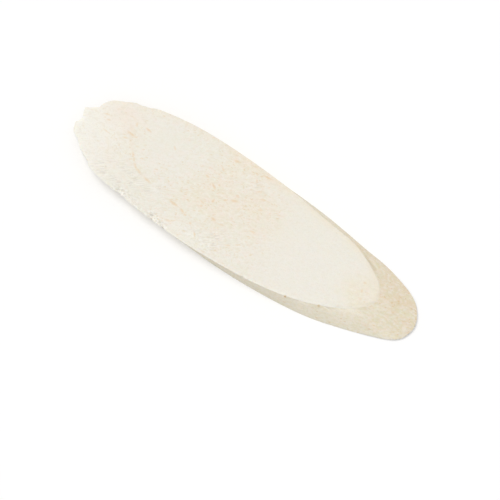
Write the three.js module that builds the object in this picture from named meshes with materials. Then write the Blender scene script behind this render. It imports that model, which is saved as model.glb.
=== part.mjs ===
// One dried slice of Chinese yam, sawn on a long slant from a peeled tuber.
//
// Units are millimetres and +Z is up. The slice lies on its lower cut face. +X runs along its
// length, towards the end where the peeled side of the tuber faces up, and the origin is on the
// ground, under the middle of the slice's bounding box.
//
// Both cut faces are the same slanting section of the tuber. The saw moved on by the thickness
// between the two cuts, so the lower face lies further along +X than the upper one. The peeled
// side joins them: it slopes outwards at the +X end and undercuts the upper face at the -X end,
// where the flesh runs out to a thin edge that has crumbled.

import * as THREE from "three";

// Driving dimensions
const THICKNESS = 5; // from cut face to cut face
const RIM = 0.35; // height of the blunt rim round each cut face
const END_LIFT = 0.5; // how far both ends curled up as the slice dried
const FLAT_REACH = 48; // the lower face is flat this far each way from the middle
const HALF_LENGTH = 79; // from the middle to either end

// The upper cut face's outline as it was sawn, anticlockwise from the +X tip. Each point holds x,
// y, and the run: how far along +X the tuber's side goes on before it meets the lower face.
const OUTLINE = [
  [61.2, 0.9, 17.8],
  [58.9, 6.0, 18.2],
  [51.6, 11.0, 20.0],
  [42.0, 15.0, 17.8],
  [27.0, 17.2, 18.5],
  [8.0, 19.9, 18.5],
  [-16.0, 21.5, 18.5],
  [-37.0, 21.3, 18.5],
  [-53.0, 19.0, 18.5],
  [-67.0, 15.4, 18.5],
  [-77.5, 9.6, 18.5],
  [-82.6, 1.8, 18.5],
  [-81.4, -6.0, 18.5],
  [-74.2, -12.3, 18.5],
  [-62.0, -17.0, 18.5],
  [-46.0, -19.5, 18.5],
  [-20.0, -21.6, 18.5],
  [4.0, -21.1, 18.0],
  [24.0, -18.9, 17.6],
  [39.6, -14.9, 17.2],
  [51.6, -9.4, 20.7],
  [55.7, -6.6, 20.8],
  [59.0, -3.6, 19.3],
];
const STATIONS_PER_POINT = 6;

// Where the thin -X edge of the upper face broke off, from the +Y side to the -Y side: y, x.
const BROKEN_EDGE = [
  [18.9, -54.2],
  [18.0, -55.9],
  [17.2, -57.9],
  [16.4, -60.6],
  [16.1, -62.9],
  [14.2, -66.8],
  [11.9, -71.2],
  [9.5, -73.6],
  [6.2, -74.6],
  [4.4, -77.3],
  [2.9, -79.3],
  [1.2, -78.6],
  [-0.8, -77.5],
  [-2.9, -77.9],
  [-4.5, -78.8],
  [-6.6, -77.8],
  [-8.3, -76.7],
  [-9.5, -73.9],
  [-12.3, -70.7],
  [-15.3, -64.7],
  [-17.6, -63.0],
];

const WALL_BANDS = 5; // rows of facets up the peeled side
const UPPER_RINGS = [0.06, 0.2, 0.42, 0.66, 0.88]; // shares of the way in to the face's spine
const LOWER_RINGS = [0.1, 0.3, 0.55, 0.8];
const UPPER_SPINE = { from: -60, to: 42, y: 0 };
const LOWER_SPINE = { from: -45, to: 60, y: 0 };

// The broken edge's x beside a point of the outline, or no limit away from the -X end.
function brokenEdgeAt(x, y) {
  if (x > 0) return -Infinity;
  const next = BROKEN_EDGE.findIndex(([edgeY]) => edgeY <= y);
  if (next <= 0) return -Infinity;
  const [y0, x0] = BROKEN_EDGE[next - 1];
  const [y1, x1] = BROKEN_EDGE[next];
  return THREE.MathUtils.mapLinear(y, y0, y1, x0, x1);
}

function curlAt(x) {
  const beyond = Math.max(0, Math.abs(x) - FLAT_REACH) / (HALF_LENGTH - FLAT_REACH);
  return END_LIFT * beyond * beyond;
}

// The points up the side of the slice at one station, from the lower face to the upper one.
function sideColumn({ x, y, z: run }) {
  const broken = brokenEdgeAt(x, y);
  const slopeHeight = THICKNESS - 2 * RIM;
  const kept = THREE.MathUtils.clamp(1 - (broken - x) / run, 0, 1);
  const slopeTop = RIM + slopeHeight * kept;
  const heights = [0];
  for (let band = 0; band <= WALL_BANDS; band += 1) {
    heights.push(THREE.MathUtils.lerp(RIM, slopeTop, band / WALL_BANDS));
  }
  heights.push(THICKNESS);
  return heights.map((height) => {
    const climbed = THREE.MathUtils.clamp((height - RIM) / slopeHeight, 0, 1);
    const sideX = Math.max(x + run * (1 - climbed), broken);
    return new THREE.Vector3(sideX, y, height);
  });
}

// Rings of points that close in from a face's rim towards its spine. Past the spine's ends, the
// last ring closes on the end itself.
function faceRings(rim, shares, spine) {
  return shares.map((share, ring) =>
    rim.map((point) => {
      const spineX = THREE.MathUtils.clamp(point.x, spine.from, spine.to);
      const closes = ring === shares.length - 1 && spineX !== point.x;
      return point.clone().lerp(new THREE.Vector3(spineX, spine.y, point.z), closes ? 1 : share);
    }),
  );
}

// Adds a triangle, unless two of its corners are in the same place.
function addTriangle(index, points, corners) {
  const places = corners.map((corner) => points[corner]);
  if (places.some((place, side) => place.equals(places[(side + 1) % 3]))) return;
  index.push(...corners);
}

function buildSlice() {
  const control = OUTLINE.map(([x, y, run]) => new THREE.Vector3(x, y, run));
  const curve = new THREE.CatmullRomCurve3(control, true, "centripetal");
  const stations = curve.getPoints(OUTLINE.length * STATIONS_PER_POINT).slice(0, -1);
  const columns = stations.map(sideColumn);
  const sideRings = columns[0].map((_, level) => columns.map((column) => column[level]));
  const rings = [
    ...faceRings(sideRings[0], LOWER_RINGS, LOWER_SPINE).reverse(),
    ...sideRings,
    ...faceRings(sideRings.at(-1), UPPER_RINGS, UPPER_SPINE),
  ];

  const count = stations.length;
  const points = rings.flat();
  const index = [];
  for (let ring = 0; ring < rings.length - 1; ring += 1) {
    for (let station = 0; station < count; station += 1) {
      const beside = (station + 1) % count;
      const a = ring * count + station;
      const b = ring * count + beside;
      addTriangle(index, points, [a, b, b + count]);
      addTriangle(index, points, [a, b + count, a + count]);
    }
  }
  closeSpine(index, points, 0, count, true);
  closeSpine(index, points, (rings.length - 1) * count, count, false);

  points.forEach((point) => {
    point.z += curlAt(point.x);
  });
  const geometry = new THREE.BufferGeometry().setFromPoints(points);
  geometry.setIndex(index);
  geometry.computeVertexNormals();
  return geometry;
}

// Closes the slit along a face's spine, zigzagging from its +X end to its -X end.
function closeSpine(index, points, firstVertex, count, facesDown) {
  const along = points.slice(firstVertex, firstVertex + count).map((point) => point.x);
  const end = along.indexOf(Math.min(...along));
  let left = along.indexOf(Math.max(...along));
  let right = left;
  while (left !== end || right !== end) {
    const nextLeft = (left + 1) % count;
    const nextRight = (right + count - 1) % count;
    const goesLeft = right === end || (left !== end && along[nextLeft] > along[nextRight]);
    const next = goesLeft ? nextLeft : nextRight;
    const corners = facesDown ? [left, right, next] : [left, next, right];
    addTriangle(index, points, corners.map((corner) => corner + firstVertex));
    if (goesLeft) left = next;
    else right = next;
  }
}

const driedFlesh = new THREE.MeshStandardMaterial({
  color: 0xefe9da,
  roughness: 0.9,
  metalness: 0,
});

const slice = new THREE.Mesh(buildSlice(), driedFlesh);
slice.name = "yam_slice";

const group = new THREE.Group();
group.add(slice);

export default group;
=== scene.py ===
import itertools
import math

import bmesh
import bpy
import numpy as np
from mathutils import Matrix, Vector
from mathutils.kdtree import KDTree


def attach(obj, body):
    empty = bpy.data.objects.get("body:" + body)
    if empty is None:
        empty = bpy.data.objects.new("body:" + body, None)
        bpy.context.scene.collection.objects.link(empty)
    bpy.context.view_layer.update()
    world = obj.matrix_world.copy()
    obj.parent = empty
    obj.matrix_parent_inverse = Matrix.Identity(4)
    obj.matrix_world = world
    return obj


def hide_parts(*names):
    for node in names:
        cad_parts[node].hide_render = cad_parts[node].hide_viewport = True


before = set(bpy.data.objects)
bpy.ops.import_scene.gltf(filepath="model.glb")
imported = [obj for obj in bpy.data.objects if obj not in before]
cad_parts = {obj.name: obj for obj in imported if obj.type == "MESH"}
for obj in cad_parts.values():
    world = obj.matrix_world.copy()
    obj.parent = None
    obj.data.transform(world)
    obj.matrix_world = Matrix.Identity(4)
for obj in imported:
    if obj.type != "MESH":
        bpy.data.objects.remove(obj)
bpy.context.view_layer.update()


# ---------------------------------------------------------------------------------------------
# The dried yam slice
# One piece of Chinese yam: white, starchy root flesh, peeled with a knife, sawn on a long slant and
# dried hard. Both cut faces are the same lopsided oval, and the peeled side slopes between them, so
# the lower face lies further along +X. Lengths are millimetres until the mesh is made.
# ---------------------------------------------------------------------------------------------

THICKNESS = 5.0
FLAT_REACH = 48.0
HALF_LENGTH = 79.0
END_LIFT = 0.5

# The upper face as it was sawn, anticlockwise from the +X tip: x, y and how far the side runs
# out along +X from there down to the lower face.
SAWN_OUTLINE = np.array([
    (61.2, 0.9, 17.8), (58.9, 6.0, 18.2), (51.6, 11.0, 20.0), (42.0, 15.0, 17.8), (27.0, 17.2, 18.5),
    (8.0, 19.9, 18.5), (-16.0, 21.5, 18.5), (-37.0, 21.3, 18.5), (-53.0, 19.0, 18.5),
    (-67.0, 15.4, 18.5), (-77.5, 9.6, 18.5), (-82.6, 1.8, 18.5), (-81.4, -6.0, 18.5),
    (-74.2, -12.3, 18.5), (-62.0, -17.0, 18.5), (-46.0, -19.5, 18.5), (-20.0, -21.6, 18.5),
    (4.0, -21.1, 18.0), (24.0, -18.9, 17.6), (39.6, -14.9, 17.2), (51.6, -9.4, 20.7),
    (55.7, -6.6, 20.8), (59.0, -3.6, 19.3),
])

# Where the thin -X edge crumbled away, from the -Y side to the +Y side: y, x.
BROKEN_EDGE = np.array([
    (-17.6, -63.0), (-15.3, -64.7), (-12.3, -70.7), (-9.5, -73.9), (-8.3, -76.7), (-6.6, -77.8),
    (-4.5, -78.8), (-2.9, -77.9), (-0.8, -77.5), (1.2, -78.6), (2.9, -79.3), (4.4, -77.3),
    (6.2, -74.6), (9.5, -73.6), (11.9, -71.2), (14.2, -66.8), (16.1, -62.9), (16.4, -60.6),
    (17.2, -57.9), (18.0, -55.9), (18.9, -54.2),
])

STATIONS = 840
SIDE_ROWS = 28
EDGE_ROWS = 5
UPPER_RINGS = 48
LOWER_RINGS = 24


def smooth_loop(points, steps):
    """A closed centripetal curve through points, with steps places on each stretch."""
    before, here, after, beyond = (np.roll(points, shift, axis=0) for shift in (1, 0, -1, -2))

    def knot(a, b):
        return np.sqrt(np.linalg.norm(b - a, axis=1))[:, None]

    k0, k1, k2 = knot(before, here), knot(here, after), knot(after, beyond)
    leave = ((here - before) / k0 - (after - before) / (k0 + k1) + (after - here) / k1) * k1
    arrive = ((after - here) / k1 - (beyond - here) / (k1 + k2) + (beyond - after) / k2) * k1
    t = (np.arange(steps) / steps)[None, :, None]
    here, after, leave, arrive = (a[:, None, :] for a in (here, after, leave, arrive))
    curve = (
        (2 * t**3 - 3 * t**2 + 1) * here
        + (t**3 - 2 * t**2 + t) * leave
        + (3 * t**2 - 2 * t**3) * after
        + (t**3 - t**2) * arrive
    )
    return curve.reshape(-1, points.shape[1])


def evenly_spaced(loop, count):
    """count places at even distances round a closed loop."""
    closed = np.vstack([loop, loop[:1]])
    steps = np.linalg.norm(np.diff(closed[:, :2], axis=0), axis=1)
    travelled = np.concatenate([[0], np.cumsum(steps)])
    stops = np.arange(count) / count * travelled[-1]
    return np.column_stack([np.interp(stops, travelled, column) for column in closed.T])


LUMP_TABLE = np.random.default_rng(20).uniform(-1, 1, 8192)


def lumps(places, size, seed):
    """Smooth noise from -1 to 1 at 3-D places, in lumps of this size in millimetres."""
    cell = places / np.asarray(size, float)
    corner = np.floor(cell).astype(np.int64)
    part = cell - corner
    ease = part**3 * (part * (part * 6 - 15) + 10)
    total = np.zeros(places.shape[:-1])
    for step in itertools.product((0, 1), repeat=3):
        key = corner + step
        mixed = key[..., 0] * 73856093 ^ key[..., 1] * 19349663 ^ key[..., 2] * 83492791 ^ seed * 668265263
        mixed = (mixed ^ (mixed >> 15)) * 2246822519 & 0xFFFFFFFF
        value = LUMP_TABLE[(mixed ^ (mixed >> 13)) % len(LUMP_TABLE)]
        total += value * np.prod(np.where(step, ease, 1 - ease), axis=-1)
    return total


def ramp(value, low, high):
    """0 below low, 1 above high, and an eased slope between them."""
    t = np.clip((value - low) / (high - low), 0, 1)
    return t * t * (3 - 2 * t)


def patch(x, y, reach_x, reach_y, here_x, here_y):
    """1 at the middle (x, y) of a soft oval patch, falling to 0 beyond its reach."""
    return np.exp(-(((here_x - x) / reach_x) ** 2 + ((here_y - y) / reach_y) ** 2))


def patches(table, here_x, here_y):
    """Soft patches added up, from a table of x, y, reach along x, reach along y and strength."""
    return sum(strength * patch(*oval, here_x, here_y) for *oval, strength in table)


sawn = evenly_spaced(smooth_loop(SAWN_OUTLINE, 40), STATIONS)
sawn_x, sawn_y, run = sawn.T
ahead = np.roll(sawn[:, :2], -1, axis=0) - np.roll(sawn[:, :2], 1, axis=0)
outward = np.column_stack([ahead[:, 1], -ahead[:, 0]])
outward /= np.linalg.norm(outward, axis=1)[:, None]

# The thin edges are blunt: the lower one at the +X end, and the upper one at the -X end.
lower_rim = 0.05 + 0.3 * np.clip(outward[:, 0], 0, 1)
upper_rim = 0.3 * np.clip(-outward[:, 0], 0, 1)

# Crumbs of starch broke away unevenly along the broken edge.
rim_places = np.column_stack([sawn_x, sawn_y, np.zeros(STATIONS)])
broken_x = np.interp(sawn_y, BROKEN_EDGE[:, 0], BROKEN_EDGE[:, 1])
broken_x += 0.22 * lumps(rim_places, 1.7, 1) + 0.16 * lumps(rim_places, 0.8, 2)
at_broken_end = (sawn_x < 0) & (sawn_y > BROKEN_EDGE[0, 0]) & (sawn_y < BROKEN_EDGE[-1, 0])
broken_x = np.where(at_broken_end, broken_x, -np.inf)

slope_height = THICKNESS - lower_rim - upper_rim
kept = np.clip(1 - (broken_x - sawn_x) / run, 0, 1)
slope_top = lower_rim + slope_height * kept


def side_row(height):
    """One row of points round the slice's side, with a height for each station."""
    climbed = np.clip((height - lower_rim) / slope_height, 0, 1)
    x = np.maximum(sawn_x + run * (1 - climbed), broken_x)
    return np.column_stack([x, sawn_y, height])


side = [side_row(lower_rim * share) for share in (0.0, 0.35, 0.7)]
side += [
    side_row(lower_rim + (slope_top - lower_rim) * row / SIDE_ROWS) for row in range(SIDE_ROWS + 1)
]
side += [
    side_row(slope_top + (THICKNESS - slope_top) * row / EDGE_ROWS) for row in range(1, EDGE_ROWS + 1)
]


def face_rings(rim, count, spine_from, spine_to, first_insets):
    """Rings that close in from a face's rim to its spine, the first ones close to the rim."""
    spine = np.column_stack([np.clip(rim[:, 0], spine_from, spine_to), np.zeros(len(rim)), rim[:, 2]])
    way = np.linalg.norm(spine - rim, axis=1)
    rings = [rim + (spine - rim) * (inset / way)[:, None] for inset in first_insets]
    start = rings[-1]
    rings += [start + (spine - start) * (0.985 * ring / count) for ring in range(1, count + 1)]
    past_ends = spine[:, 0] != rim[:, 0]
    rings[-1][past_ends] = spine[past_ends]
    return rings


upper = face_rings(side[-1], UPPER_RINGS, -48, 42, (0.08, 0.22))
lower = face_rings(side[0], LOWER_RINGS, -45, 60, (0.1,))
rows = np.array(lower[::-1] + side + upper)
first_side, first_upper = len(lower), len(lower) + len(side)
row_count = len(rows)
row_number = np.arange(row_count)[:, None] * np.ones((1, STATIONS), int)
on_lower = row_number < first_side
on_upper = row_number >= first_upper
on_side = ~on_lower & ~on_upper
x, y, z = rows[..., 0], rows[..., 1], rows[..., 2]

# The direction in which each place stands proud: straight up or down on the cut faces.
around = np.roll(rows, -1, axis=1) - np.roll(rows, 1, axis=1)
upward = np.gradient(rows, axis=0)
normals = np.cross(around, upward)
normals /= np.maximum(np.linalg.norm(normals, axis=2), 1e-9)[..., None]
normals[on_lower] = (0, 0, -1)
normals[on_upper] = (0, 0, 1)


def distance_to(rim, places):
    """How far each place is from the nearest point of a rim."""
    tree = KDTree(len(rim))
    for number, point in enumerate(rim):
        tree.insert(point, number)
    tree.balance()
    return np.array([tree.find(place)[2] for place in places])


inset = np.zeros(row_number.shape)
inset[on_lower] = distance_to(side[0], rows[on_lower])
inset[on_upper] = distance_to(side[-1], rows[on_upper])

# The flesh grew along the slope of the side, so what shows on the upper face shows again on the
# lower one, this much further along +X. grown is x as the upper face has it.
GROWTH_RUN = 18.5
grown = np.where(on_lower, x - GROWTH_RUN, x)

# Where the vessels' ends show as freckles: most in the middle, fewer towards the -X end and along
# the -Y rim, hardly any in a cloud on the +Y side, and none over the +X third but for a few at its
# tip. The patches in these tables and later ones are x, y, reach along x and y, and strength.
FEWER_FRECKLES = (
    (-41, 8.5, 14, 8, 0.85), (-26, 16, 8, 5, 0.3), (-73, -3, 7, 5, 0.7), (-67, 8, 9, 7, 0.35),
    (-63, -10, 8, 5, 0.55),
)
MORE_FRECKLES = ((-56, 2, 7, 8, 0.2), (10, 8, 7, 6, 0.25))
wander = 4 * lumps(rows, (14, 10, 14), 13)
crowd = 1 - ramp(grown + 0.25 * y + wander, 0, 25)
crowd *= 0.62 + 0.38 * ramp(grown + wander, -48, -24)
for *oval, strength in FEWER_FRECKLES:
    crowd *= 1 - strength * patch(*oval, grown, y)
crowd += patches(MORE_FRECKLES, grown, y)
crowd *= 0.7 + 0.3 * ramp(y, -17, -5)
freckled = np.clip(crowd + 0.8 * patch(54, 0, 6, 8, grown, y), 0, 1)

# Cut faces: a slight dish, slow waves from drying, the saw's fine ripples where it scored the
# flesh, crumbs where starch fell away along the -Y rim, and a granular skin.
SCORED_BY_SAW = (
    (-53, -13, 8, 4, 1.0), (-70, -7, 4, 3, 0.4), (-36, -13, 8, 5, 0.8), (-7, -14, 8, 5, 0.55),
    (-3, 13, 4, 3, 0.35), (12, -9, 6, 6, 0.2),
)
CRUMBLED_AWAY = (
    (-47, -18, 4.5, 1.8, 1.0), (-30.5, -19.4, 3, 1.5, 1.0), (-26, -20.2, 3, 1.2, 1.0),
    (-39, -19.6, 6, 1.2, 0.5), (-40, -17, 6, 2, 0.25), (-14, -17.5, 4, 2.2, 0.4),
    (-6, -18.5, 4, 1.6, 0.4),
)
DISH_DEPTH = 0.14
RIPPLE_PITCH = 1.25
RIPPLE_DEPTH = 0.06

dish = -DISH_DEPTH * ramp(inset, 0.0, 14)
waves = 0.10 * lumps(rows, (26, 17, 40), 3) + 0.03 * lumps(rows, (8, 5, 9), 4)
scored = patches(SCORED_BY_SAW, grown, y) * (0.8 + 1.2 * lumps(rows, (5, 4, 5), 18))
scored = np.clip(scored, 0, 1)
across_saw = y * 0.84 - x * 0.54
saw_phase = across_saw * math.tau / RIPPLE_PITCH + 2.5 * lumps(rows, 6, 14)
ripples = RIPPLE_DEPTH * np.sin(saw_phase) * scored
crumbled = patches(CRUMBLED_AWAY, x, y)
crumbs = crumbled * (0.18 * lumps(rows, (1.2, 0.9, 1), 23) - 0.1)
granules = 0.03 * lumps(rows, (2.4, 1.5, 2), 5) + 0.032 * lumps(rows, (1.2, 0.8, 1), 6)
granules *= 0.3 + 0.5 * freckled + 0.5 * scored
face_relief = dish + waves + ripples + crumbs + granules

# Peeled side: a long flat for each stroke of the knife, fibres that run with the tuber, and a
# groove under the upper rim where the flesh shrank away from it.
FLAT_DEPTH = 0.10
GROOVE = 0.22

tuber_angle = np.arctan2((sawn_x + 10) / 72, sawn_y / 21.6)
stroke_places = np.column_stack([tuber_angle * 6, np.zeros(STATIONS), np.zeros(STATIONS)])
strokes = np.abs(lumps(stroke_places, 1.0, 7))[None, :]
fibres = 0.035 * lumps(rows, (9, 1.4, 1.4), 8) + 0.025 * lumps(rows, (2.4, 0.8, 0.8), 9)
groove = GROOVE * np.exp(-(((z - 4.4) / 0.4) ** 2)) * patch(51, 12, 6, 5, x, y)
side_relief = fibres - FLAT_DEPTH * (1 - strokes) - groove

edge_height = np.maximum(THICKNESS - slope_top, 1e-6)[None]
edge_share = np.clip((z - slope_top[None]) / edge_height, 0, 1)
broken_depth = np.where(at_broken_end, THICKNESS - slope_top, 0)[None]
crumble = 0.2 * ramp(broken_depth, 0.3, 0.9) * lumps(rows, 0.9, 10) * np.sin(math.pi * edge_share)

# The relief dies out towards the rims, and the lower face follows its own rim.
side_relief *= ramp(slope_top[None] - z, 0, 0.4)
face_relief *= ramp(inset / np.where(on_lower, 3, 1.2), 0, 1)
relief = np.where(on_side, side_relief + crumble, face_relief)
places = rows + normals * relief[..., None]
rim_shift = places[first_side] - rows[first_side]
places[:first_side] += rim_shift * (1 - ramp(inset[:first_side], 0, 1.5))[..., None]


def by_the_rim(reach):
    """On the cut faces: 1 at the rim, falling to 0 beyond this distance from it."""
    return np.exp(-((inset / reach) ** 2))


# Nicks take the corner off the upper rim: small ones all round, and larger chips, as x, y, size. On
# the -Y side the rim is ragged in two stretches, and worn down a little near the tip.
RIM_CHIPS = (
    (-47.2, -18.9, 1.3), (-44.3, -19.5, 0.9), (-30.4, -20.4, 1.3), (-24.7, -21.2, 1.0), (54.3, -7.6, 0.5),
    (-73.6, 10.6, 0.6), (-60.4, 17.2, 0.5), (37.0, 15.6, 0.6), (12.5, -20.3, 0.5),
)
NICK_DEPTH = 0.22
WEAR_DEPTH = 0.08
RAGGED_REACH = 0.3

nick_places = np.column_stack([sawn_x, sawn_y, np.full(STATIONS, 3.0)])
nick = ramp(lumps(nick_places, 2.6, 11) + 0.5 * lumps(nick_places, 1.1, 12), 0.42, 1.0)
rough = lumps(nick_places, 0.9, 19) * patch(-42, -19, 18, 6, sawn_x, sawn_y)
rough += 0.5 * lumps(nick_places, 1.3, 22) * patch(51, -9, 7, 6, sawn_x, sawn_y)
worn = patch(53, -8, 6, 4, sawn_x, sawn_y)
near_rim = np.where(on_side, np.exp(-(((THICKNESS - z) / 0.6) ** 2)), by_the_rim(0.5))
near_rim[on_lower] = 0
places[..., 2] -= (NICK_DEPTH * nick + WEAR_DEPTH * worn)[None] * near_rim
places[..., :2] += outward[None] * (RAGGED_REACH * rough[None] * near_rim)[..., None]
for chip_x, chip_y, size in RIM_CHIPS:
    chip = patch(chip_x, chip_y, size, size, x, y) * ramp(z, 3.3, 4.9)
    chip *= 1 + 0.5 * lumps(rows, 0.5, 15)
    places[..., 2] -= 0.35 * size * chip
    places[..., :2] -= outward[None] * (0.45 * size * chip)[..., None]

# Root scars: stubs of side roots, cut off short with the peel, as x, y, height, radius and how
# strongly each shows.
ROOT_SCARS = (
    (30.75, -17.7, 4.7, 0.55, 0.8), (43.7, -13.55, 4.75, 0.65, 0.45), (22.0, -19.6, 2.6, 0.45, 0.5),
    (5.0, 20.3, 3.2, 0.5, 0.6), (-28.0, 21.5, 2.2, 0.55, 0.6), (47.0, 14.6, 3.1, 0.5, 0.4),
    (-8.0, -21.4, 2.4, 0.4, 0.6), (-50.0, 19.4, 3.4, 0.4, 0.5),
)
for scar_x, scar_y, scar_z, radius, strength in ROOT_SCARS:
    away = np.linalg.norm(rows - (scar_x, scar_y, scar_z), axis=2)
    stub = ramp(-away, -1.5 * radius, -0.4 * radius) * np.where(on_side, 1, 0)
    places += normals * (0.3 * radius * strength * stub)[..., None]

# Both ends curled up as the slice dried, and nothing reaches below what the slice lies on.
beyond = np.clip(np.abs(x) - FLAT_REACH, 0, None) / (HALF_LENGTH - FLAT_REACH)
places[..., 2] = np.maximum(places[..., 2], 0) + END_LIFT * beyond**2
places[..., 2] = np.where(on_lower & (places[..., 2] < 0.03), 0.0, places[..., 2])

# The rows become one closed skin. The slit that is left along each face's spine is closed by a
# strip of triangles.
MM = 0.001

station = np.arange(STATIONS)
beside = np.roll(station, -1)
quads = []
for row in range(row_count - 1):
    a, b = row * STATIONS + station, row * STATIONS + beside
    quads.append(np.column_stack([a, b, b + STATIONS, a + STATIONS]))
quads = np.concatenate(quads)


def spine_strip(ring, first, faces_down):
    """Triangles that zigzag along the slit inside a face's last ring."""
    ring_x = ring[:, 0]
    left = right = int(np.argmax(ring_x))
    end = int(np.argmin(ring_x))
    strip = []
    while left != end or right != end:
        next_left, next_right = (left + 1) % STATIONS, (right - 1) % STATIONS
        goes_left = right == end or (left != end and ring_x[next_left] > ring_x[next_right])
        new = next_left if goes_left else next_right
        if left != right and new not in (left, right):
            corners = (left, right, new) if faces_down else (left, new, right)
            strip.append([corner + first for corner in corners])
        left, right = (new, right) if goes_left else (left, new)
    return strip


strips = spine_strip(rows[0], 0, True) + spine_strip(rows[-1], (row_count - 1) * STATIONS, False)
mesh = bpy.data.meshes.new("yam_slice_skin")
mesh.from_pydata((places.reshape(-1, 3) * MM).tolist(), [], quads.tolist() + strips)
mesh.update()
mesh.shade_smooth()


def remember(name, values):
    """Keeps one number for each vertex under a name that the material can read."""
    attribute = mesh.attributes.new(name, "FLOAT", "POINT")
    attribute.data.foreach_set("value", np.clip(values, 0, 1).ravel().astype(np.float32))


last_peeled_row = first_side + 3 + SIDE_ROWS - 1
on_peel = (row_number >= first_side) & (row_number <= last_peeled_row)
remember("peeled", on_peel.astype(float))
remember("freckled", freckled)
remember("scored", np.where(on_peel, 0, scored))
remember("crumbled", np.where(row_number >= first_upper - EDGE_ROWS, crumbled, 0))

# Peach warmth: round the freckles in the middle, at the -X end's +Y corner, at the +X tip and
# along the +Y rim.
WARM_PATCHES = ((-66, 9, 9, 7, 0.7), (-70, 5, 4, 3, 0.4), (-58, 3, 9, 9, 0.25), (57, 1, 7, 8, 0.8))
warm = 0.68 * freckled * ramp(grown + wander, -36, -17) * (0.25 + 0.75 * ramp(y, -17, -3))
warm *= 1 - 0.8 * patch(-27, 16, 9, 6, grown, y)
warm += patches(WARM_PATCHES, grown, y)
warm += 0.8 * by_the_rim(1.5) * ramp(grown, 50, 56)
warm += (0.6 + 0.3 * ramp(grown, -30, 0)) * by_the_rim(2.2) * ramp(y, 5, 12)
remember("warm", warm * (0.9 + 0.5 * lumps(rows, (7, 5, 7), 16)))

# Rosier at both corners of the -X end and faintly in the middle, and yellower at the +X tip.
ROSY_PATCHES = ((-66, 9, 10, 7, 1.15), (-63, -9, 7, 5, 0.8), (-5, 2, 20, 12, 0.15))
rosy = patches(ROSY_PATCHES, grown, y)
remember("rosy", rosy * (0.9 + 0.9 * lumps(rows, (3.5, 2.5, 3), 20)))
yellowed = patch(53, -4, 7, 7, grown, y)
remember("yellowed", yellowed * (0.9 + 0.9 * lumps(rows, (3, 2.2, 3), 21)))

# Paler: painted light towards the thin -X end, where light shows through the thin flesh, a painted
# highlight along the -Y rim and a paler stretch inside it. On the peel: painted light over the -Y
# side and below the rim near the tip, and a few paler patches.
PALER_PEEL_PATCHES = ((63.5, 0, 3, 4, 0.3), (72, -9.5, 2.5, 2.5, 0.3), (38, -17, 4, 3, 0.25))
pale_and_painted_light = ramp(-grown, 44, 82) * (1 - 0.45 * patch(-65, 10, 10, 7, grown, y))
pale_and_painted_light += 0.5 * by_the_rim(0.7) * ramp(-y, 2, 9) + 0.35 * patch(-14, -18, 14, 3, x, y)
peel_pale_and_painted_light = (0.6 - 0.25 * ramp(x, 52, 64)) * ramp(-y, 1, 11)
peel_pale_and_painted_light += 0.6 * patch(54, -8, 6, 4, x, y) * ramp(z, 3.4, 4.9)
peel_pale_and_painted_light += patches(PALER_PEEL_PATCHES, x, y)
remember("pale_and_painted_light", np.where(on_peel, peel_pale_and_painted_light, pale_and_painted_light))

# Stained orange: on the side, at the +X tip, round its +Y corner and along its thin edge.
STAINED_PATCHES = ((66, 6, 5, 4, 0.4), (65, -8, 4, 3, 0.2), (62.5, 3, 2, 5, 0.3))
stained = 0.5 * ramp(x + 1.6 * y, 54, 74) + patches(STAINED_PATCHES, x, y)
stained *= 1 - 0.7 * patch(66, -1, 5, 4, x, y)
stained += 0.45 * np.exp(-((z / 0.8) ** 2)) * ramp(x, 60, 72) * ramp(y, -8, 0)
stained *= 0.9 + 0.8 * lumps(rows, (4, 2.5, 2), 17)
remember("stained", np.where(on_peel, stained, 0))

# Painted shade: darker in the groove on the side, and a little more over the side's +Y corner.
remember("painted_shade", np.where(on_peel, groove / GROOVE + 0.16 * patch(62, 10, 12, 5, x, y), 0))

# Each face's last ring meets itself past the spine's ends, and is joined there.
skin = bmesh.new()
skin.from_mesh(mesh)
bmesh.ops.remove_doubles(skin, verts=skin.verts, dist=1e-4 * MM)
skin.to_mesh(mesh)
skin.free()


def read(things, name, width=1):
    """One named property of all the mesh's faces or corners."""
    values = np.empty(len(things) * width)
    things.foreach_get(name, values)
    return values.reshape(-1, width) if width > 1 else values


# Each vertex faces the way that most of the skin round it does, so the rims stay crisp.
corner_facing = np.repeat(
    read(mesh.polygons, "normal", 3) * read(mesh.polygons, "area")[:, None],
    read(mesh.polygons, "loop_total").astype(int), axis=0,
)
facing = np.zeros((len(mesh.vertices), 3))
np.add.at(facing, read(mesh.loops, "vertex_index").astype(int), corner_facing)
facing /= np.linalg.norm(facing, axis=1)[:, None]
mesh.normals_split_custom_set_from_vertices(facing.tolist())

yam = bpy.data.objects.new("dried_yam_slice", mesh)
bpy.context.scene.collection.objects.link(yam)

# Flesh: dry starch, matt and cream white, with peach and orange dashes where the vessels were cut
# on the slant. The peeled side is tan, with fine brownish fibres.
flesh = bpy.data.materials.new("dried_yam_flesh")
flesh.use_nodes = True
tree = flesh.node_tree
shader = tree.nodes["Principled BSDF"]


def shown(red, green, blue):
    """A colour given as a screen shows it, from 0 to 255."""
    parts = [channel / 255 for channel in (red, green, blue)]
    return (*[p / 12.92 if p <= 0.04045 else ((p + 0.055) / 1.055) ** 2.4 for p in parts], 1)


def feed(socket, source):
    if isinstance(source, bpy.types.NodeSocket):
        tree.links.new(source, socket)
    else:
        socket.default_value = source


def combined(operation, *values):
    node = tree.nodes.new("ShaderNodeMath")
    node.operation = operation
    for socket, value in zip(node.inputs, values):
        feed(socket, value)
    return node.outputs[0]


def between(value, low, high):
    """0 where value is low, 1 where it is high."""
    node = tree.nodes.new("ShaderNodeMapRange")
    node.interpolation_type = "SMOOTHSTEP"
    feed(node.inputs["Value"], value)
    node.inputs["From Min"].default_value = low
    node.inputs["From Max"].default_value = high
    return node.outputs["Result"]


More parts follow.
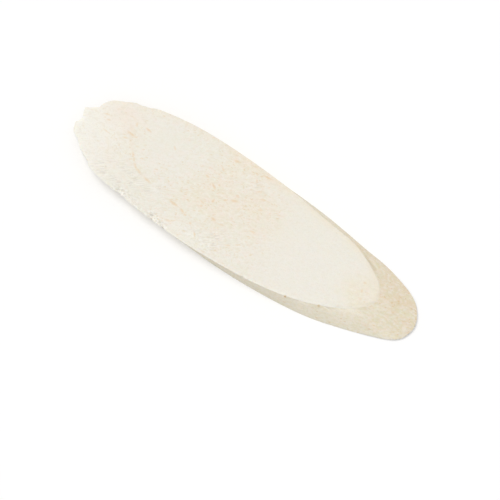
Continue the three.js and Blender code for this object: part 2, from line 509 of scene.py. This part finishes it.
def blended(share, a, b):
    node = tree.nodes.new("ShaderNodeMix")
    node.data_type = "RGBA"
    feed(node.inputs["Factor"], share)
    feed(node.inputs["A"], a)
    feed(node.inputs["B"], b)
    return node.outputs["Result"]


def part_of(share, source):
    return combined("MULTIPLY", source, share)


def remembered(name):
    node = tree.nodes.new("ShaderNodeAttribute")
    node.attribute_name = name
    return node.outputs["Fac"]


def laid_out(place, size, turn=0, middle=(0, 0, 0)):
    """place seen from middle, turned by degrees about Z and counted in cells of this size in mm."""
    node = tree.nodes.new("ShaderNodeMapping")
    node.vector_type = "TEXTURE"
    feed(node.inputs["Vector"], place)
    node.inputs["Location"].default_value = [length * MM for length in middle]
    node.inputs["Rotation"].default_value = (0, 0, math.radians(turn))
    node.inputs["Scale"].default_value = [length * MM for length in size]
    return node.outputs["Vector"]


def cloudy(place, size, detail=2.0, turn=0):
    node = tree.nodes.new("ShaderNodeTexNoise")
    feed(node.inputs["Vector"], laid_out(place, size, turn))
    node.inputs["Scale"].default_value = 1
    node.inputs["Detail"].default_value = detail
    return node


def pushed(place, size, reach):
    """place moved about by as much as reach in millimetres, in lumps of this size."""
    node = tree.nodes.new("ShaderNodeVectorMath")
    node.operation = "MULTIPLY_ADD"
    tree.links.new(cloudy(place, size, 1).outputs["Color"], node.inputs[0])
    node.inputs[1].default_value = [length * MM for length in reach]
    tree.links.new(place, node.inputs[2])
    return node.outputs["Vector"]


def dashes(place, size, turn, share):
    """Short marks, one at most to a cell, left out where their number is over share."""
    node = tree.nodes.new("ShaderNodeTexVoronoi")
    feed(node.inputs["Vector"], laid_out(place, size, turn))
    node.inputs["Scale"].default_value = 1
    split = tree.nodes.new("ShaderNodeSeparateColor")
    tree.links.new(node.outputs["Color"], split.inputs["Color"])
    present = between(combined("SUBTRACT", share, split.outputs["Red"]), 0.0, 0.3)
    return combined("MULTIPLY", between(node.outputs["Distance"], 0.40, 0.08), present)


# frayed has ragged edges for small marks, and bent has long marks wander as well.
FRAY = (0.5, 0.5, 0.3)
coordinates = tree.nodes.new("ShaderNodeTexCoord")
place = coordinates.outputs["Object"]
frayed = pushed(place, (0.55, 0.45, 0.5), FRAY)
bent = pushed(frayed, (5, 4, 5), (3.0, 3.0, 0))


def spot(middle, size, turn, edge, core):
    """1 in the core of an oval spot and 0 past its edge, both as shares of its size in mm."""
    shifted = [length + reach / 2 for length, reach in zip(middle, FRAY)]
    away = tree.nodes.new("ShaderNodeVectorMath")
    away.operation = "LENGTH"
    tree.links.new(laid_out(frayed, size, turn, shifted), away.inputs[0])
    return between(away.outputs["Value"], edge, core)


peeled = remembered("peeled")
freckled_here = remembered("freckled")
grain = cloudy(frayed, (0.55, 0.45, 0.5), 3).outputs["Fac"]
mottle = cloudy(frayed, (1.6, 1.1, 1.2), 3, 20).outputs["Fac"]

# Colours of the cut faces: cream, then large patches of colour, then small clouds of tint.
CREAM, PALE_CREAM = shown(239, 236, 224), shown(240, 236, 226)
PEACH, ROSE, STRAW = shown(240, 231, 213), shown(245, 229, 219), shown(236, 231, 203)
PINK_TINT, OLIVE_TINT = shown(243, 230, 218), shown(235, 231, 212)
PALE_AND_LIT_CREAM, BUFF, MILK = shown(249, 246, 236), shown(231, 220, 198), shown(246, 243, 234)

cloud = cloudy(place, (16, 11, 12), 3).outputs["Fac"]
face = blended(between(cloud, 0.35, 0.65), CREAM, PALE_CREAM)
face = blended(remembered("warm"), face, PEACH)
face = blended(part_of(0.6, remembered("rosy")), face, ROSE)
face = blended(part_of(0.3, remembered("yellowed")), face, STRAW)
tint = cloudy(place, (2.6, 1.9, 2), 2, 20).outputs["Fac"]
tinted = combined("MULTIPLY_ADD", freckled_here, 0.35, 0.15)
face = blended(combined("MULTIPLY", tinted, between(tint, 0.5, 0.68)), face, PINK_TINT)
face = blended(combined("MULTIPLY", tinted, between(tint, 0.5, 0.32)), face, OLIVE_TINT)
# Paler with painted light at the thin -X end, with a painted highlight along the -Y rim.
face = blended(remembered("pale_and_painted_light"), face, PALE_AND_LIT_CREAM)
mottled = combined("MULTIPLY_ADD", freckled_here, 0.26, 0.15)
face = blended(combined("MULTIPLY", mottled, between(mottle, 0.47, 0.72)), face, BUFF)
face = blended(combined("MULTIPLY", mottled, between(mottle, 0.5, 0.25)), face, MILK)

# Freckles: short dashes at a few angles, a few long ones, and pale ones. Then the saw's scratches,
# darker and lighter strokes that are partly painted shade and painted light of the ripples, and the
# crumbs, darker with painted shade in their pockets and lighter with white flakes of starch.
for size, turn, share, strength, colour in (
    ((2.0, 0.7, 1.2), 12, 0.60, 0.60, (229, 207, 168)),
    ((1.7, 0.62, 1.2), 42, 0.45, 0.60, (233, 208, 172)),
    ((1.6, 0.65, 1.2), -34, 0.40, 0.55, (225, 208, 172)),
    ((5.0, 0.7, 1.2), 16, 0.35, 0.40, (226, 206, 168)),
    ((1.1, 0.8, 1.2), 25, 0.40, 0.50, (249, 247, 238)),
):
    marks = dashes(bent, size, turn, part_of(share, freckled_here))
    face = blended(part_of(strength, marks), face, shown(*colour))
scratch = cloudy(frayed, (2.4, 0.42, 1.2), 2, 36).outputs["Fac"]
# Scratch strokes: the darker is partly painted shade, the lighter partly painted light of the ripples.
for low, high, strength, colour in (
    (0.52, 0.66, 0.80, (217, 210, 198)),
    (0.48, 0.35, 0.65, (251, 248, 240)),
):
    scratch_shade_and_light = combined("MULTIPLY", between(scratch, low, high), remembered("scored"))
    face = blended(part_of(strength, scratch_shade_and_light), face, shown(*colour))
crumb = cloudy(place, (1.1, 0.8, 1), 3).outputs["Fac"]
# Crumbs: the darker colour is painted shade in their pockets, the lighter is white flakes.
for low, high, colour in ((0.50, 0.62, (207, 203, 189)), (0.50, 0.38, (254, 254, 252))):
    crumb_shade_and_flakes = combined("MULTIPLY", between(crumb, low, high), remembered("crumbled"))
    face = blended(part_of(0.55, crumb_shade_and_flakes), face, shown(*colour))

# The vessels that show best: x, y, turn in degrees, length, width and how strongly they show. The
# wide ones at 0 are faint streaks where several lie close together.
VESSELS = (
    (-57.2, 4.1, -8, 5.4, 1.2, 0.9), (-52.3, 9.3, -6, 3.6, 1.0, 0.9), (-70.2, 5.6, 18, 2.6, 1.0, 0.7),
    (-68.2, 4.0, 15, 2.2, 0.8, 0.5), (-58.3, 1.5, 20, 3.0, 0.9, 0.6), (-57.6, 8.6, -60, 2.4, 1.3, 0.6),
    (-39.3, 8.9, -42, 2.4, 0.9, 0.6), (-51.8, -2.5, -45, 2.8, 1.2, 0.55), (-51.4, -4.7, 35, 1.6, 0.8, 0.6),
    (-47.8, -2.1, 25, 2.0, 0.9, 0.5), (-48.4, -6.0, -40, 3.2, 1.4, 0.5), (-45.9, -7.1, -26, 3.6, 1.3, 0.5),
    (-40.8, -8.4, -8, 4.4, 1.2, 0.6), (-66.5, -0.4, -5, 4.6, 0.6, 0.4), (-26.7, -10.5, -4, 4.8, 1.3, 0.9),
    (-22.2, -11.1, -20, 2.8, 1.1, 0.8), (-20.3, -11.9, 0, 1.6, 0.9, 0.8), (-24.4, -17.5, 15, 3.2, 1.3, 0.5),
    (-15.4, 17.9, 8, 3.2, 1.5, 1.0), (-1.4, 19.0, 8, 4.4, 1.0, 0.9), (-4.3, 15.4, -60, 1.8, 1.0, 0.7),
    (-1.2, 12.1, 42, 3.4, 0.8, 0.6), (2.0, 10.2, 20, 3.0, 0.7, 0.6), (-18.3, 12.2, -38, 2.2, 1.1, 0.7),
    (-21.8, 6.3, -12, 2.6, 1.0, 0.7), (-17.4, 4.2, -30, 3.8, 1.1, 1.0), (-7.3, 3.6, 25, 3.4, 1.4, 1.0),
    (-10.4, 1.9, 25, 2.2, 1.0, 0.7), (-7.3, 6.0, 0, 1.5, 1.3, 0.6), (3.6, 6.2, 20, 2.2, 1.0, 0.6),
    (-14.2, -1.2, 95, 1.8, 1.5, 0.9), (-17.8, -3.7, -10, 2.8, 0.9, 0.7), (-17.1, -5.3, 20, 1.6, 0.9, 0.7),
    (-10.0, -7.2, 0, 2.6, 1.4, 1.0), (-6.4, -7.4, 18, 3.4, 0.8, 0.6), (5.6, -3.0, 12, 3.2, 1.0, 0.7),
    (-12.8, -16.4, -48, 2.4, 1.0, 0.8), (-16.6, -13.6, 0, 1.6, 1.0, 0.6), (0.7, -13.0, 25, 3.0, 1.3, 0.5),
    (-44.5, -7.4, -16, 10.0, 1.8, 0.0), (-50.3, -4.0, -60, 2.4, 1.2, 0.45), (-57.6, 5.8, -30, 6.0, 2.4, 0.0),
    (-54.6, 0.4, -55, 8.0, 2.4, 0.0), (53.7, 4.0, 10, 1.7, 1.2, 0.6), (54.5, 0.6, -70, 1.9, 1.1, 0.7),
    (10.8, 8.4, 15, 1.7, 0.9, 0.5),
)
VESSEL_DEPTH = 1.6
VESSEL_ORANGE = shown(234, 207, 167)
for vessel_x, vessel_y, turn, length, width, strength in VESSELS:
    size = (length / 2, width / 2, VESSEL_DEPTH)
    mark = spot((vessel_x, vessel_y, THICKNESS), size, turn, 1.25, 0.1)
    face = blended(part_of(0.15 + 0.55 * strength, mark), face, VESSEL_ORANGE)

# Colours of the peeled side: tan, streaked along the fibres, stained, paler with painted light, and
# then fine flecks and orange marks.
TAN, PALE_TAN = shown(234, 229, 203), shown(244, 232, 215)
DARK_FIBRE, LIGHT_FIBRE = shown(226, 213, 185), shown(248, 242, 227)
STAIN, PALE_AND_LIT_TAN = shown(235, 215, 189), shown(250, 243, 225)
DARK_FLECK, LIGHT_FLECK = shown(231, 217, 175), shown(246, 241, 230)
STAIN_MARK, STAIN_SPECK = shown(226, 194, 146), shown(213, 177, 128)
SHADED_TAN = shown(206, 192, 160)

fibre = cloudy(bent, (9, 0.6, 0.7), 4, 6).outputs["Fac"]
blotch = cloudy(frayed, (2.6, 1.8, 1.6), 3, 12).outputs["Fac"]
fleck = cloudy(frayed, (1.4, 0.8, 0.9), 2, 18).outputs["Fac"]
stained_here = remembered("stained")
tan = blended(between(blotch, 0.35, 0.65), TAN, PALE_TAN)
tan = blended(part_of(0.35, between(fibre, 0.48, 0.7)), tan, DARK_FIBRE)
tan = blended(part_of(0.45, between(fibre, 0.46, 0.3)), tan, LIGHT_FIBRE)
tan = blended(part_of(0.8, stained_here), tan, STAIN)
# Paler with painted light over the -Y side and below the rim near the tip, and in a few patches.
tan = blended(part_of(0.9, remembered("pale_and_painted_light")), tan, PALE_AND_LIT_TAN)
flecked = combined("MULTIPLY_ADD", remembered("pale_and_painted_light"), -0.25, 0.40)
tan = blended(combined("MULTIPLY", flecked, between(fleck, 0.48, 0.62)), tan, DARK_FLECK)
tan = blended(combined("MULTIPLY", flecked, between(fleck, 0.48, 0.36)), tan, LIGHT_FLECK)
stain_marks = dashes(bent, (1.9, 1.1, 0.9), 24, combined("MULTIPLY_ADD", stained_here, 0.5, 0.30))
stain_specks = dashes(frayed, (1.1, 0.8, 0.8), 0, combined("MULTIPLY_ADD", stained_here, 0.25, 0.10))
tan = blended(part_of(0.6, stain_marks), tan, STAIN_MARK)
tan = blended(part_of(0.5, stain_specks), tan, STAIN_SPECK)
colour = blended(peeled, face, tan)
# Painted shade darkens the side in its groove and over its +Y corner.
colour = blended(part_of(0.5, remembered("painted_shade")), colour, SHADED_TAN)

# Root scars are yellowish brown.
SCAR_BROWN = shown(212, 172, 90)
for *middle, radius, strength in ROOT_SCARS:
    scar = spot(middle, (radius, radius, radius), 0, 1.2, 0.4)
    colour = blended(part_of(strength, scar), colour, SCAR_BROWN)

# A fine grain runs over everything, and is raised a little.
GRAIN_GREY = shown(228, 221, 207)
colour = blended(part_of(0.4, between(grain, 0.48, 0.72)), colour, GRAIN_GREY)
feed(shader.inputs["Base Color"], colour)

shader.inputs["Roughness"].default_value = 0.85
shader.inputs["Specular IOR Level"].default_value = 0.25
shader.inputs["Subsurface Weight"].default_value = 0.12
shader.inputs["Subsurface Radius"].default_value = (1.0, 0.8, 0.55)
shader.inputs["Subsurface Scale"].default_value = 0.8 * MM

bump = tree.nodes.new("ShaderNodeBump")
bump.inputs["Strength"].default_value = 0.35
bump.inputs["Distance"].default_value = 0.12 * MM
tree.links.new(combined("ADD", grain, mottle), bump.inputs["Height"])
tree.links.new(bump.outputs["Normal"], shader.inputs["Normal"])
mesh.materials.append(flesh)

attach(yam, "root")
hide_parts("yam_slice")


# ---------------------------------------------------------------------------------------------
# Floor, light and camera
# A white paper floor that keeps the slice's shadow, one broad soft lamp far off beyond the -X end
# and an even white room. The camera looks down steeply, turned from the slice's length.
# ---------------------------------------------------------------------------------------------

ROOM_LIGHT = 0.62
LAMP_LIGHT = 1.5
LAMP_WIDTH = math.radians(40)
PAPER_COLOUR = (0.78, 0.775, 0.77, 1)
PAPER_GLOW = 0.235
AIM = Vector((8.35, -8.62, 0)) * MM
DISTANCE = 0.55
AZIMUTH, ELEVATION = math.radians(33.6), math.radians(75)


def seen_directly(node_tree):
    """1 for what the camera sees, straight or by way of gloss or glass, and 0 for soft light."""
    path = node_tree.nodes.new("ShaderNodeLightPath")
    total = path.outputs["Is Camera Ray"]
    for ray in ("Is Glossy Ray", "Is Transmission Ray"):
        either = node_tree.nodes.new("ShaderNodeMath")
        either.operation = "MAXIMUM"
        node_tree.links.new(total, either.inputs[0])
        node_tree.links.new(path.outputs[ray], either.inputs[1])
        total = either.outputs[0]
    return total


def whitened(node_tree, strength, plain, extra):
    """Sets strength to plain, and to plain + extra for what is seen directly."""
    node = node_tree.nodes.new("ShaderNodeMath")
    node.operation = "MULTIPLY_ADD"
    node_tree.links.new(seen_directly(node_tree), node.inputs[0])
    node.inputs[1].default_value = extra
    node.inputs[2].default_value = plain
    node_tree.links.new(node.outputs[0], strength)


floor_mesh = bpy.data.meshes.new("floor")
floor_mesh.from_pydata([(-4, -4, 0), (4, -4, 0), (4, 4, 0), (-4, 4, 0)], [], [(0, 1, 2, 3)])
floor = bpy.data.objects.new("floor", floor_mesh)
bpy.context.scene.collection.objects.link(floor)

paper = bpy.data.materials.new("white_paper")
paper.use_nodes = True
paper_nodes, paper_links = paper.node_tree.nodes, paper.node_tree.links
paper_nodes.clear()
output = paper_nodes.new("ShaderNodeOutputMaterial")
matte = paper_nodes.new("ShaderNodeBsdfDiffuse")
matte.inputs["Color"].default_value = PAPER_COLOUR
glow = paper_nodes.new("ShaderNodeEmission")
whitened(paper.node_tree, glow.inputs["Strength"], 0.0, PAPER_GLOW)
both = paper_nodes.new("ShaderNodeAddShader")
paper_links.new(matte.outputs[0], both.inputs[0])
paper_links.new(glow.outputs[0], both.inputs[1])
paper_links.new(both.outputs[0], output.inputs["Surface"])
floor_mesh.materials.append(paper)

room = bpy.data.worlds.new("studio")
bpy.context.scene.world = room
room.use_nodes = True
backdrop = room.node_tree.nodes["Background"]
backdrop.inputs["Color"].default_value = (1, 1, 1, 1)
whitened(room.node_tree, backdrop.inputs["Strength"], ROOM_LIGHT, 1 - ROOM_LIGHT)

key_light = bpy.data.lights.new("key", "SUN")
key_light.energy = LAMP_LIGHT
key_light.angle = LAMP_WIDTH
key = bpy.data.objects.new("key", key_light)
key.rotation_mode = "QUATERNION"
key.rotation_quaternion = Vector((-0.98, 0.2, 1.3)).to_track_quat("Z", "Y")
bpy.context.scene.collection.objects.link(key)

camera_data = bpy.data.cameras.new("camera")
camera_data.lens = 100
camera_data.sensor_width = 36
camera_data.clip_start, camera_data.clip_end = 0.01, 20
camera = bpy.data.objects.new("camera", camera_data)
bpy.context.scene.collection.objects.link(camera)
level = math.cos(ELEVATION)
back = Vector((math.sin(AZIMUTH) * level, -math.cos(AZIMUTH) * level, math.sin(ELEVATION)))
camera.location = AIM + back * DISTANCE
camera.rotation_mode = "QUATERNION"
camera.rotation_quaternion = (-back).to_track_quat("-Z", "Y")
bpy.context.scene.camera = camera
bpy.context.scene.view_settings.view_transform = "Standard"
